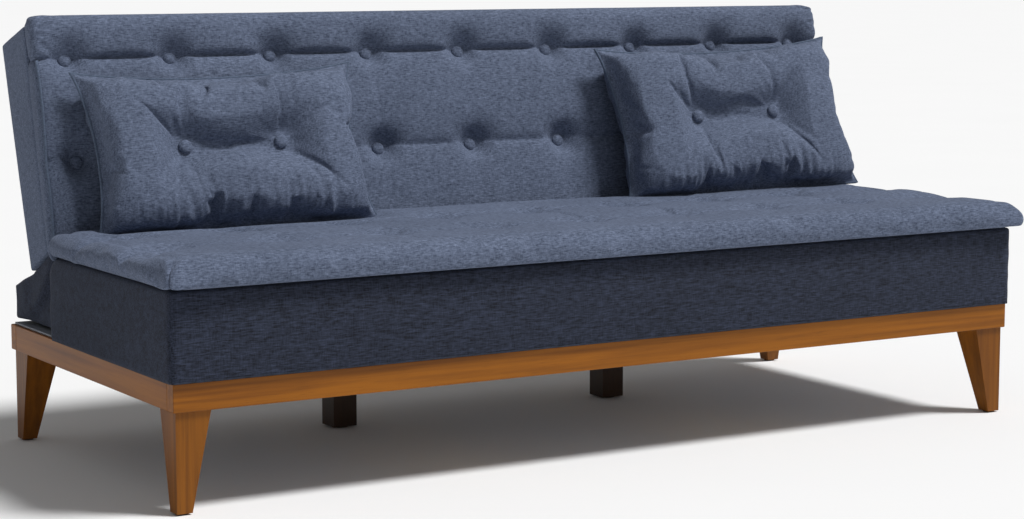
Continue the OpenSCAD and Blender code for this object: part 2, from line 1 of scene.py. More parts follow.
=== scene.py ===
"""Looks of a three-seat futon sofa bed: fabric, wood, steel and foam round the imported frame."""

import json
import math

import bmesh
import bpy
import numpy as np
from mathutils import Matrix, Vector, noise


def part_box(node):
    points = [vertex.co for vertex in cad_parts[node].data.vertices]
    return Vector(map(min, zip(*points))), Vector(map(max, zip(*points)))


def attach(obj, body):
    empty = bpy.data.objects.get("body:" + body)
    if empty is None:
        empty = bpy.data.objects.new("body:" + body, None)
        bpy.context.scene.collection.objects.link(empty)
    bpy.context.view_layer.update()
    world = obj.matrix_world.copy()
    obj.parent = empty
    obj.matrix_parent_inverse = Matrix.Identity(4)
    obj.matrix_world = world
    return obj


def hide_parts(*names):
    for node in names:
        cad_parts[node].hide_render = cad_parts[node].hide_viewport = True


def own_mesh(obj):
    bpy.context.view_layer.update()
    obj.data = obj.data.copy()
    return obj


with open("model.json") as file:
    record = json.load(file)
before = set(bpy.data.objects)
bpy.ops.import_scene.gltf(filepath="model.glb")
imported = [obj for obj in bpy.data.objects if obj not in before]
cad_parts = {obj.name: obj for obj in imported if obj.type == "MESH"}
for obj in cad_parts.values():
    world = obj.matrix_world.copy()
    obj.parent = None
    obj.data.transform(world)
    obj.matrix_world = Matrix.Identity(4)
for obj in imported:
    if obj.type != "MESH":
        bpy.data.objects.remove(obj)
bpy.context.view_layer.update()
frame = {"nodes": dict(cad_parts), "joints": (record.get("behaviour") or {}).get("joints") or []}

bl_info = {
    "name": "Futon sofa bed",
    "version": (1, 0, 0),
    "blender": (4, 5, 0),
    "location": "3D View > Sidebar > Futon",
    "description": "Builds the upholstery, finishes and stage of a futon sofa bed",
    "category": "Object",
}

MM = 0.001
JOINT = next(j for j in frame["joints"] if j["name"] == "back_recline")
HINGE = Vector(JOINT["pos_m"])
LEAN = math.radians(90 + JOINT["range_deg"][0])
# The backrest's own axes: x along the sofa, v rearwards through it, s up along it.
BACK = Matrix.Translation(HINGE) @ Matrix.Rotation(-LEAN, 4, "X")

WOOD_NODES = {
    "X": ["plinth_front_rail", "plinth_rear_rail"],
    "Y": ["plinth_left_rail", "plinth_right_rail"],
    "Z": ["leg_front_left", "leg_front_right", "leg_rear_left", "leg_rear_right"],
}
DARK_LEGS = ["support_leg_left", "support_leg_right"]
PINE_NODES = {
    "X": ["seat_front_board", "seat_rear_board", "back_top_rail", "back_bottom_rail"],
    "Y": [
        "cross_bearer_left", "cross_bearer_right", "seat_left_board", "seat_right_board",
        "seat_slats",
    ],
    "Z": ["corner_blocks", "back_left_stile", "back_right_stile", "back_middle_stiles"],
}
STEEL_NODES = [
    "hinge_seat_arm_left", "hinge_seat_arm_right", "hinge_drum_left", "hinge_drum_right",
    "hinge_back_arm_left", "hinge_back_arm_right", "ratchet_wheel_left",
    "ratchet_wheel_right", "leg_bolts",
]
BRIGHT_STEEL_NODES = [
    "hinge_pin_left", "hinge_pin_right", "seat_hinge_screws", "back_hinge_screws",
]
FOAM_NODES = ["seat_foam", "back_foam"]


# ---- Sizes and colours ----


class FutonSizes(bpy.types.PropertyGroup):
    """Sizes of the upholstery that a user would change."""

    edge_break: bpy.props.FloatProperty(
        name="Edge break", description="Width of the softened edges on the wood",
        default=1.6 * MM, min=0.2 * MM, max=4 * MM, unit="LENGTH",
    )
    crease_depth: bpy.props.FloatProperty(
        name="Crease depth", description="Depth of the sewn crease along the upper button row",
        default=19 * MM, min=2 * MM, max=24 * MM, unit="LENGTH",
    )
    puff: bpy.props.FloatProperty(
        name="Puff", description="How far the tufted pad stands out between its buttons",
        default=7 * MM, min=0, max=12 * MM, unit="LENGTH",
    )
    piping: bpy.props.FloatProperty(
        name="Piping radius", description="Radius of the corded piping",
        default=3.4 * MM, min=1.5 * MM, max=6 * MM, unit="LENGTH",
    )
    pillow_fill: bpy.props.FloatProperty(
        name="Pillow fill", description="Inner pressure that swells the loose pillows",
        default=6.0, min=1.0, max=12.0,
    )


def colour_property(label, words, value):
    """A colour setting, its default given as an sRGB hex value."""
    return bpy.props.FloatVectorProperty(
        name=label, description=words, subtype="COLOR", size=4, min=0, max=1,
        default=linear(value),
    )


def linear(value):
    """The linear RGBA of an sRGB hex colour."""
    parts = [int(value[i : i + 2], 16) / 255 for i in (1, 3, 5)]
    return [p / 12.92 if p <= 0.04045 else ((p + 0.055) / 1.055) ** 2.4 for p in parts] + [1.0]


class FutonColours(bpy.types.PropertyGroup):
    """Colours that a user would change."""

    linen_dark: colour_property("Linen, dark yarn", "Dark yarn of the pads and pillows", "#262f41")
    linen_light: colour_property("Linen, pale yarn", "Pale flecks in the pads and pillows", "#7f8ba5")
    navy_dark: colour_property("Navy, dark yarn", "Dark yarn of the seat box", "#13161f")
    navy_light: colour_property("Navy, pale yarn", "Pale slubs in the seat box", "#3e465b")
    piping: colour_property("Piping", "Cord piping on the pillows and the backrest", "#5d6a80")
    walnut_dark: colour_property("Walnut, dark grain", "Late wood and pores of the plinth", "#5c3006")
    walnut_light: colour_property("Walnut, light grain", "Early wood of the plinth", "#975a0c")
    dark_stain: colour_property("Dark stain", "The two middle legs", "#3a2413")


# ---- Materials ----


def add(tree, kind, inputs=None, **settings):
    """Adds one node, with its settings, and each input set to a value or fed by a socket."""
    made = tree.nodes.new(kind)
    for key, value in settings.items():
        setattr(made, key, value)
    for key, value in (inputs or {}).items():
        if isinstance(value, bpy.types.NodeSocket):
            tree.links.new(value, made.inputs[key])
        else:
            made.inputs[key].default_value = value
    return made


def finish(name, surface, bump, strength, distance, **fixed):
    """A material from a function that gives the colour socket and a height socket."""
    material = bpy.data.materials.new(name)
    material.use_nodes = True
    tree = material.node_tree
    tree.nodes.clear()
    place = add(tree, "ShaderNodeTexCoord").outputs["Object"]
    colour = surface(tree, place)
    height = bump(tree, place)
    bumped = add(
        tree, "ShaderNodeBump", {"Strength": strength, "Distance": distance, "Height": height}
    )
    shader = add(tree, "ShaderNodeBsdfPrincipled", {"Base Color": colour, "Normal": bumped.outputs[0]})
    for key, value in fixed.items():
        shader.inputs[key.replace("_", " ")].default_value = value
    add(tree, "ShaderNodeOutputMaterial", {"Surface": shader.outputs[0]})
    return material


def speckle(tree, place, scale, detail=2.0, distortion=0.0):
    """Noise stretched by a scale for each axis, in cycles a metre."""
    moved = add(tree, "ShaderNodeMapping", {"Vector": place, "Scale": scale})
    return add(
        tree, "ShaderNodeTexNoise",
        {"Vector": moved.outputs[0], "Scale": 1.0, "Detail": detail, "Distortion": distortion},
    ).outputs["Fac"]


def math_node(tree, operation, a, b):
    """Two heights or factors put together."""
    return add(tree, "ShaderNodeMath", {0: a, 1: b}, operation=operation).outputs[0]


def weighted(tree, *parts):
    """Heights added up, each with its weight."""
    total = None
    for height, weight in parts:
        share = math_node(tree, "MULTIPLY", height, weight)
        total = share if total is None else math_node(tree, "ADD", total, share)
    return total


def ramp(tree, value, low, high):
    """A factor that rises from 0 to 1 between two values."""
    return add(tree, "ShaderNodeMapRange", {"Value": value, "From Min": low, "From Max": high}).outputs[0]


def blend_colour(tree, factor, a, b):
    """Two colours mixed by a factor."""
    return add(tree, "ShaderNodeMix", {0: factor, 6: a, 7: b}, data_type="RGBA").outputs[2]


def woven(name, dark, light, slub, low, high, thread=2.6 * MM, tone=0.75):
    """Heathered plain-weave cloth. Slubs run along the sofa and finer ones across it.

    Real threads are about 0.7 mm wide; they are drawn 2.6 mm wide so that they show.
    """

    def surface(tree, place):
        weft = speckle(tree, place, (slub, 430, 430), 4.0)
        warp = speckle(tree, place, (430, slub * 1.3, slub * 1.3), 4.0)
        fleck = speckle(tree, place, (800, 800, 800), 1.0)
        mixed = weighted(tree, (weft, 0.58), (warp, 0.26), (fleck, 0.16))
        yarn = blend_colour(tree, ramp(tree, mixed, low, high), dark, light)
        # Handling leaves broad, faint patches of paler and darker cloth.
        patch = ramp(tree, speckle(tree, place, (6, 6, 6), 3.0), 0.3, 0.7)
        shade = [c * tone for c in dark[:3]] + [1.0]
        return blend_colour(tree, math_node(tree, "MULTIPLY", patch, 0.16), yarn, shade)

    def bump(tree, place):
        # Blender's band wave repeats every 2 * pi / 20 units at scale 1.
        scale = 2 * math.pi / 20 / thread
        wave = {"Vector": place, "Scale": scale, "Distortion": 1.2, "Detail": 1.0}
        warp = add(tree, "ShaderNodeTexWave", wave, bands_direction="X")
        turned = add(tree, "ShaderNodeMapping", {"Vector": place, "Rotation": (math.radians(45), 0, 0)})
        across = {**wave, "Vector": turned.outputs[0], "Scale": scale * 1.4}
        weft = add(tree, "ShaderNodeTexWave", across, bands_direction="Z")
        threads = math_node(tree, "ADD", warp.outputs["Fac"], weft.outputs["Fac"])
        return math_node(tree, "ADD", threads, speckle(tree, place, (slub, 430, 430), 2.0))

    return finish(
        name, surface, bump, 0.28, 0.5 * MM, Roughness=0.92, Sheen_Weight=0.14,
        Sheen_Roughness=0.45, Sheen_Tint=linear("#b9c4da"), Specular_IOR_Level=0.25,
    )


def timber(name, dark, light, along, roughness, coat, fine=1.0):
    """Planed wood with its grain along one axis: streaks 3 to 8 mm wide and fine pores."""
    stretch = {"X": (1.6, 1, 1), "Y": (1, 1.6, 1), "Z": (1, 1, 1.6)}[along]
    long = [3.2 if s > 1 else 110.0 * fine for s in stretch]
    pores = [22.0 if s > 1 else 900.0 for s in stretch]
    wide = [1.2 if s > 1 else 26.0 for s in stretch]

    def surface(tree, place):
        streak = speckle(tree, place, long, 4.0, 0.3)
        band = speckle(tree, place, wide, 2.0, 0.6)
        mixed = weighted(tree, (streak, 0.55), (band, 0.45))
        grain = blend_colour(tree, ramp(tree, mixed, 0.22, 0.60), dark, light)
        pore = ramp(tree, speckle(tree, place, pores, 2.0), 0.60, 0.74)
        deep = [c * 0.45 for c in dark[:3]] + [1.0]
        return blend_colour(tree, math_node(tree, "MULTIPLY", pore, 0.35), grain, deep)

    def bump(tree, place):
        return speckle(tree, place, pores, 2.0)

    return finish(
        name, surface, bump, 0.15, 0.2 * MM, Roughness=roughness, Coat_Weight=coat,
        Coat_Roughness=0.28, IOR=1.5, Specular_IOR_Level=0.2,
    )


def plain(name, value, spread, scale, roughness, strength=0.15, depth=0.3 * MM, **fixed):
    """One colour that wanders a little, with a fine surface grain."""
    colour = linear(value)
    other = [c * spread for c in colour[:3]] + [1.0]

    def surface(tree, place):
        worn = ramp(tree, speckle(tree, place, (scale / 12,) * 3, 3.0), 0.3, 0.7)
        return blend_colour(tree, worn, colour, other)

    def bump(tree, place):
        return speckle(tree, place, (scale,) * 3, 3.0)

    return finish(name, surface, bump, strength, depth, Roughness=roughness, **fixed)


def materials():
    """Every material by name, made once."""
    if "pale_floor" not in bpy.data.materials:
        for packed in bpy.data.materials:
            packed.name = "packed_" + packed.name
        c = bpy.context.scene.futon_colours
        pick = lambda key: list(getattr(c, key))
        # Slate-blue linen: matt, with pale flecks and a faint bloom at grazing angles.
        woven("denim_linen", pick("linen_dark"), pick("linen_light"), 110, 0.30, 0.74)
        # Navy linen of the seat box: darker, with long slubs along the sofa.
        woven("navy_linen", pick("navy_dark"), pick("navy_light"), 60, 0.38, 0.72)
        # Piping cord covered in grey twill.
        woven("grey_piping", [p * 0.62 for p in pick("piping")[:3]] + [1.0], pick("piping"), 200, 0.4, 0.6)
        for along in "XYZ":
            # Beech stained walnut under satin lacquer: warm, with a soft gloss.
            deep = 0.80 if along == "Z" else 1.0
            stain = [[c * deep for c in pick(key)[:3]] + [1.0] for key in ("walnut_dark", "walnut_light")]
            timber("walnut_stain_" + along.lower(), *stain, along, 0.45, 0.10)
            # Bare planed pine: pale and dry.
            timber("pine_" + along.lower(), linear("#a97c45"), linear("#dcbd88"), along, 0.62, 0.0, 0.6)
        # Beech stained dark brown: the grain barely shows.
        dark = pick("dark_stain")
        timber("dark_stain", [d * 0.5 for d in dark[:3]] + [1.0], dark, "Z", 0.5, 0.2)
        # Painted hardboard: flat grey with a faint orange-peel.
        plain("grey_board", "#8d929c", 0.82, 500, 0.6)
        # Zinc-plated pressed steel: dull silver with cloudy patches.
        plain("zinc_steel", "#a5a8ab", 0.7, 300, 0.38, Metallic=1.0)
        # Nickel-plated turned steel: brighter.
        plain("bright_steel", "#c4c6c8", 0.85, 300, 0.25, Metallic=1.0)
        # Open-cell foam: pale yellow and matt, with pores.
        plain("foam", "#dccf9c", 0.85, 900, 0.95, 0.5, 0.8 * MM)
        # Woven elastic webbing, near black.
        plain("webbing", "#2a2827", 0.7, 800, 0.85, 0.4, 0.5 * MM)
        # Spun-bonded dust cloth, near black.
        plain("black_cloth", "#202227", 0.7, 700, 0.95, 0.35, 0.4 * MM)
        # Matt studio floor, off-white.
        plain("pale_floor", "#f4f4f4", 0.99, 20, 0.9, 0.0)
        # Pressed felt, dark brown.
        plain("felt", "#38332f", 0.75, 900, 1.0, 0.5, 0.6 * MM)
    return bpy.data.materials


# ---- Mesh helpers ----

CREASE_CUT = 4 * MM


def cell_block(lo, hi, cells):
    """A closed block between two corners, cut into cells along each axis."""
    bm = bmesh.new()
    bmesh.ops.create_cube(bm, size=1.0)
    size = [b - a for a, b in zip(lo, hi)]
    middle = [(a + b) / 2 for a, b in zip(lo, hi)]
    bmesh.ops.scale(bm, vec=size, verts=bm.verts)
    bmesh.ops.translate(bm, vec=middle, verts=bm.verts)
    for axis, count in enumerate(cells):
        along = [e for e in bm.edges if abs(e.verts[0].co[axis] - e.verts[1].co[axis]) > 1e-7]
        bmesh.ops.subdivide_edges(bm, edges=along, cuts=count - 1, use_grid_fill=True)
    return bm


def piece(name, bm, material):
    """A smooth mesh object from a bmesh, with its material."""
    bmesh.ops.recalc_face_normals(bm, faces=bm.faces)
    mesh = bpy.data.meshes.new(name)
    bm.to_mesh(mesh)
    bm.free()
    mesh.materials.append(materials()[material])
    mesh.polygons.foreach_set("use_smooth", [True] * len(mesh.polygons))
    made = bpy.data.objects.new(name, mesh)
    bpy.context.scene.collection.objects.link(made)
    return made


def points(obj):
    """An object's vertices as rows of numbers."""
    flat = np.zeros(len(obj.data.vertices) * 3)
    obj.data.vertices.foreach_get("co", flat)
    return flat.reshape(-1, 3)


def set_points(obj, rows):
    """Puts an object's vertices at these rows."""
    obj.data.vertices.foreach_set("co", np.asarray(rows, np.float32).ravel())
    obj.data.update()


def rounded(rows, lo, hi, radii):
    """Block points pulled in so that edges and corners are round, with a radius for each axis."""
    lo, hi, radii = np.array(lo), np.array(hi), np.array(radii)
    core = np.clip(rows, lo + radii, hi - radii)
    out = (rows - core) / radii
    length = np.linalg.norm(out, axis=1, keepdims=True)
    return core + out / np.maximum(length, 1e-9) * radii * (length > 1e-9)


def crowded(rows, lo, hi, reach, power):
    """Grid points moved towards the block's faces, so that its edges get finer cells."""
    near = np.minimum(rows - lo, hi - rows)
    moved = np.where(near < reach, reach * (np.maximum(near, 0) / reach) ** power, near)
    return np.where(rows - lo < hi - rows, lo + moved, hi - moved)


def furrow(away, slope, sharp):
    """A crease's depth from 0 to 1: a share of it is a sharp cut, and the rest slopes softly."""
    return sharp * np.exp(-np.abs(away) / CREASE_CUT) + (1 - sharp) * np.exp(-np.abs(away) / slope)


def crumple(rows, size, seed):
    """A smooth random number from -1 to 1 at each point, changing over the given size."""
    shift = Vector((seed * 7.3, seed * 3.1, seed * 5.7))
    return np.array([noise.noise(Vector(row) / size + shift) for row in rows])


def place_on(obj, matrix):
    """Moves a mesh itself by a matrix."""
    obj.data.transform(matrix)
    obj.data.update()


def smoothstep(value, low, high):
    """0 below low, 1 above high, and smooth between."""
    t = np.clip((value - low) / (high - low), 0, 1)
    return t * t * (3 - 2 * t)


def swell(obj, pinned, pressure, frames, growth, cap, stiffness=12.0):
    """Swells a padded form as cloth under inner pressure, and keeps the result.

    Pinned points stay. growth is the share by which the cloth is longer than the form,
    and cap is how far a point may move.
    """
    start = points(obj)
    group = obj.vertex_groups.new(name="sewn")
    group.add([int(i) for i in np.nonzero(pinned)[0]], 1.0, "REPLACE")
    cloth = obj.modifiers.new("Cloth", "CLOTH")
    cloth.point_cache.frame_start, cloth.point_cache.frame_end = 1, frames
    made = cloth.settings
    made.quality, made.mass = 6, 0.3
    made.tension_stiffness = made.compression_stiffness = stiffness
    made.shear_stiffness, made.bending_stiffness = stiffness / 2, 0.3
    made.use_pressure, made.uniform_pressure_force = True, pressure
    made.shrink_min = -growth
    made.effector_weights.gravity = 0
    made.vertex_group_mass = "sewn"
    cloth.collision_settings.use_collision = False
    scene = bpy.context.scene
    for step in range(1, frames + 1):
        scene.frame_set(step)
    shaped = obj.evaluated_get(bpy.context.evaluated_depsgraph_get())
    flat = np.zeros(len(start) * 3)
    shaped.data.vertices.foreach_get("co", flat)
    obj.modifiers.remove(cloth)
    obj.vertex_groups.clear()
    scene.frame_set(1)
    moved = flat.reshape(-1, 3) - start
    length = np.linalg.norm(moved, axis=1, keepdims=True)
    moved *= np.minimum(1, cap / np.maximum(length, 1e-9))
    set_points(obj, start + moved)


def refine(obj):
    """One level of subdivision as a modifier."""
    soft = obj.modifiers.new("Subdivision", "SUBSURF")
    soft.levels = soft.render_levels = 1


def cord_along(name, rows, radius, material, closed):
    """A round cord that follows these points."""
    curve = bpy.data.curves.new(name, "CURVE")
    curve.dimensions = "3D"
    line = curve.splines.new("POLY")
    line.points.add(len(rows) - 1)
    line.points.foreach_set("co", np.hstack([rows, np.ones((len(rows), 1))]).ravel())
    line.use_cyclic_u = closed
    curve.bevel_depth, curve.bevel_resolution = radius, 2
    curve.use_fill_caps = not closed
    drawn = bpy.data.objects.new(name + "_line", curve)
    bpy.context.scene.collection.objects.link(drawn)
    solid = drawn.evaluated_get(bpy.context.evaluated_depsgraph_get())
    mesh = bpy.data.meshes.new_from_object(solid)
    bpy.data.objects.remove(drawn)
    bm = bmesh.new()
    bm.from_mesh(mesh)
    bpy.data.meshes.remove(mesh)
    bmesh.ops.remove_doubles(bm, verts=bm.verts, dist=0.05 * MM)
    return piece(name, bm, material)


def finish_node(name, material, edge=0.0):
    """Gives a CAD node its material, and softens its edges."""
    node = frame["nodes"][name]
    node.data.materials.clear()
    node.data.materials.append(materials()[material])
    if edge:
        weld = node.modifiers.new("Weld", "WELD")
        weld.merge_threshold = 0.05 * MM
        bevel = node.modifiers.new("Edge", "BEVEL")
        bevel.width, bevel.segments, bevel.limit_method = edge, 2, "ANGLE"
        bevel.angle_limit, bevel.harden_normals = math.radians(35), True


# ---- Wooden pieces ----


class FUTON_OT_woodwork(bpy.types.Operator):
    """Finish the plinth, the legs and the inner timber"""

    bl_idname = "futon.woodwork"
    bl_label = "Woodwork"

    def execute(self, context):
        edge = context.scene.futon_sizes.edge_break
        for along, names in WOOD_NODES.items():
            for name in names:
                finish_node(name, "walnut_stain_" + along.lower(), edge)
        for along, names in PINE_NODES.items():
            for name in names:
                finish_node(name, "pine_" + along.lower())
        for name in DARK_LEGS:
            finish_node(name, "dark_stain", edge)
        finish_node("plinth_deck", "grey_board", edge / 2)
        finish_node("leg_glides", "felt")
        return {"FINISHED"}


class FUTON_OT_metalwork(bpy.types.Operator):
    """Finish the hinges, bolts, screws, foam and webbing"""

    bl_idname = "futon.metalwork"
    bl_label = "Hinges and filling"

    def execute(self, context):
        for name in STEEL_NODES:
            finish_node(name, "zinc_steel", 0.4 * MM)
        for name in BRIGHT_STEEL_NODES:
            finish_node(name, "bright_steel", 0.3 * MM)
        for name in FOAM_NODES:
            finish_node(name, "foam")
        finish_node("back_webbing", "webbing")
        return {"FINISHED"}


# ---- Seat box ----

BOX_CELL = 6 * MM
BOX_CORNER = 12 * MM
BOX_TOP_EDGE = 5 * MM
BOX_REAR_CURVE = 60 * MM


class FUTON_OT_seat_box(bpy.types.Operator):
    """Build the padded cover of the seat box"""

    bl_idname = "futon.seat_box"
    bl_label = "Seat box"

    def execute(self, context):
        lo, hi = (np.array(c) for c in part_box("seat_cover"))
        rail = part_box("plinth_left_rail")[1]
        lo[2] += 0.4 * MM
        hi[2] -= 0.5 * MM
        cells = [round(c) for c in (hi - lo) / BOX_CELL]
        box = piece("seat_box_cover", cell_block(lo, hi, cells), "navy_linen")
        start = crowded(points(box), lo, hi, 5 * BOX_CELL, 1.6)
        # Round upright corners and upper edges; the lower edge is turned under, and is sharp.
        under = np.array([0, 0, 10 * BOX_CORNER])
        rows = rounded(start, lo - under, hi, (BOX_CORNER, BOX_CORNER, BOX_TOP_EDGE))
        # The upper rear edge is strongly rounded.
        centre = hi[1:] - BOX_REAR_CURVE
        arm = rows[:, 1:] - centre
        far = np.linalg.norm(arm, axis=1)
        past = (arm[:, 0] > 0) & (arm[:, 1] > 0) & (far > BOX_REAR_CURVE)
        rows[past, 1:] = centre + arm[past] / far[past, None] * BOX_REAR_CURVE
        # Each upright face is a little full, and wrinkles towards its corners.
        across = (rows - (lo + hi) / 2) / ((hi - lo) / 2)
        height = 1 - across[:, 2] ** 2
        fold = crumple(rows * [0.6, 0.6, 2.2], 60 * MM, 1)
        wave = crumple(rows * [0.35, 0.35, 1.0], 90 * MM, 2)
        corner = smoothstep(np.abs(across[:, 0]), 0.80, 1.0) * smoothstep(np.abs(across[:, 1]), 0.55, 1.0)
        for axis, other in ((0, 1), (1, 0)):
            side = smoothstep(np.abs(across[:, axis]), 0.94, 1.0) * np.sign(across[:, axis])
            full = 2.4 * MM * (1 - across[:, other] ** 8) + fold * corner * 2 * MM + wave * 1.2 * MM
            rows[:, axis] += side * height * full
        # A narrow hem at the lower edge hangs over the plinth's top board.
        low = start[:, 2] < lo[2] + 0.01 * MM
        outside = (np.abs(start[:, 0]) > hi[0] - 0.01 * MM) | (start[:, 1] < lo[1] + 0.01 * MM)
        rows[low & outside & (start[:, 1] < hi[1] - BOX_CORNER), 2] = rail.z + 0.4 * MM
        set_points(box, rows)
        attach(box, "base")
        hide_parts("seat_cover")
        return {"FINISHED"}


# ---- Seat pad ----

SEAT_CELL = 8 * MM
# The roll round the pad's edge, the groove behind it and the mitre at each front corner.
SEAT_ROLL = 36 * MM
SEAT_GROOVE = 6 * MM
SEAT_MITRE = 9 * MM
SEAT_DIMPLE = 15 * MM


def button_places(name):
    """The middle of each button in a CAD node, from left to right in each row."""
    node = frame["nodes"][name]
    bm = bmesh.new()
    bm.from_mesh(node.data)
    bmesh.ops.remove_doubles(bm, verts=bm.verts, dist=0.01 * MM)
    left, found = set(bm.verts), []
    while left:
        island, edge = set(), [left.pop()]
        while edge:
            vert = edge.pop()
            island.add(vert)
            for link in vert.link_edges:
                other = link.other_vert(vert)
                if other in left:
                    left.discard(other)
                    edge.append(other)
        found.append(sum((v.co for v in island), Vector()) / len(island))
    bm.free()
    return sorted(found, key=lambda p: (round(p.z, 3), round(p.y, 3), p.x))


def nearest(x, columns):
    """Distance from each x to the nearest column."""
    return np.min(np.abs(x[:, None] - np.array(sorted(columns))[None, :]), axis=1)


class FUTON_OT_seat_pad(bpy.types.Operator):
    """Build the loose seat pad"""

    bl_idname = "futon.seat_pad"
    bl_label = "Seat pad"

    def execute(self, context):
        lo, hi = (np.array(c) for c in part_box("seat_pad"))
        lo[2] += 0.3 * MM
        size = hi - lo
        cells = [round(size[0] / SEAT_CELL), round(size[1] / SEAT_CELL), 6]
        pad = piece("seat_pad_cushion", cell_block(lo, hi, cells), "denim_linen")
        half = size[2] / 2 - 0.5 * MM
        start = points(pad)
        rows = rounded(start, lo, hi, (half, half, half))
        # A fat roll runs round the front and the sides, with a mitre at each front corner.
        x, y = rows[:, 0], rows[:, 1]
        from_side, from_front = hi[0] - np.abs(x), y - lo[1]
        near = np.minimum(from_side, from_front)
        mitre = np.exp(-(((from_side - from_front) / SEAT_MITRE) ** 2))
        mitre *= 1 - smoothstep(near, 20 * MM, SEAT_ROLL)
        core = np.clip(rows, lo + half, hi - half)
        rows += (core - rows) * (0.30 * mitre)[:, None]
        top = smoothstep(rows[:, 2], lo[2] + size[2] * 0.45, hi[2] - 2 * MM)
        spots = [Vector(p) for p in button_places("seat_pad_buttons")]
        pinned = rows[:, 2] < lo[2] + 4 * MM
        sink = SEAT_GROOVE * np.exp(-(((near - SEAT_ROLL) / (8 * MM)) ** 2))
        for spot in spots:
            far = np.hypot(x - spot.x, y - spot.y)
            sink = np.maximum(sink, SEAT_DIMPLE * np.exp(-((far / (28 * MM)) ** 1.3)))
            pinned |= (far < 14 * MM) & (top > 0.5)
        for line in sorted({round(spot.y, 3) for spot in spots}):
            sink = np.maximum(sink, 5 * MM * np.exp(-np.abs(y - line) / (12 * MM)))
        # Each pillow's lower edge presses a valley into the pad.
        for side in PILLOW_SET:
            _, foot, reach = pillow_foot(side)
            along = 1 - smoothstep(np.abs(x - foot.x), reach - 20 * MM, reach + 25 * MM)
            valley = hi[2] - foot.z + 1 * MM
            pressed = np.exp(-(((y - foot.y + 10 * MM) / (46 * MM)) ** 2))
            sink = np.maximum(sink, along * valley * pressed)
        rows[:, 2] += top * (crumple(rows * [0.5, 1, 1], 80 * MM, 3) * 2 * MM - sink)
        # The front and side edges wander, and the front corners are drawn out into ears.
        across = (rows - (lo + hi) / 2) / (size / 2)
        wander = crumple(rows * [1, 1, 0.4], 120 * MM, 4)
        rows[:, 1] -= smoothstep(-across[:, 1], 0.90, 1.0) * wander * 4 * MM
        sides = np.sign(across[:, 0]) * smoothstep(np.abs(across[:, 0]), 0.97, 1.0)
        rows[:, 0] += sides * wander * 6 * MM
        ear = np.exp(-(((1 - np.abs(across[:, 0])) / 0.028) ** 2))
        ear *= np.exp(-(((1 + across[:, 1]) / 0.10) ** 2))
        rows[:, 0] += np.sign(across[:, 0]) * ear * 7 * MM
        rows[:, 1] -= ear * 6 * MM
        rows[:, 2] -= ear * across[:, 2] * 4 * MM
        set_points(pad, rows)
        swell(pad, pinned, 2.5, 14, 0.025, 8 * MM)
        rows = points(pad)
        # It lies flat on the seat box, and stays clear of the backrest pad.
        rows[:, 2] = np.maximum(rows[:, 2], lo[2])
        rows[:, 1] = np.minimum(rows[:, 1], hi[1])
        set_points(pad, rows)
        refine(pad)
        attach(pad, "base")
        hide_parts("seat_pad")
        return {"FINISHED"}


# ---- Backrest ----

PAD_CELL = 7 * MM
PAD_FRONT = -53 * MM
PAD_BOTTOM = -10 * MM
PAD_TOP = 443 * MM
PAD_REAR = -8 * MM
# Round edges of the pad: at its ends, at its front and at its top.
PAD_RADII = (12 * MM, 20 * MM, 26 * MM)
# The grid's rows crowd together this far on each side of a crease.
PAD_CROWD = 32 * MM
PAD_SOFT_CREASE = 14 * MM
PAD_DIMPLE = 29 * MM
PAD_DROOP = 5 * MM
PAD_GATHER = 5 * MM
HINGE_GAP = (0.838, 0.874)


def pad_rim(s):
    """How far forward the pad's end reaches at a height: it thins towards the seat."""
    return np.interp(s, [0, 0.10, 0.25, 0.36], [-20 * MM, -32 * MM, -43 * MM, -50 * MM])


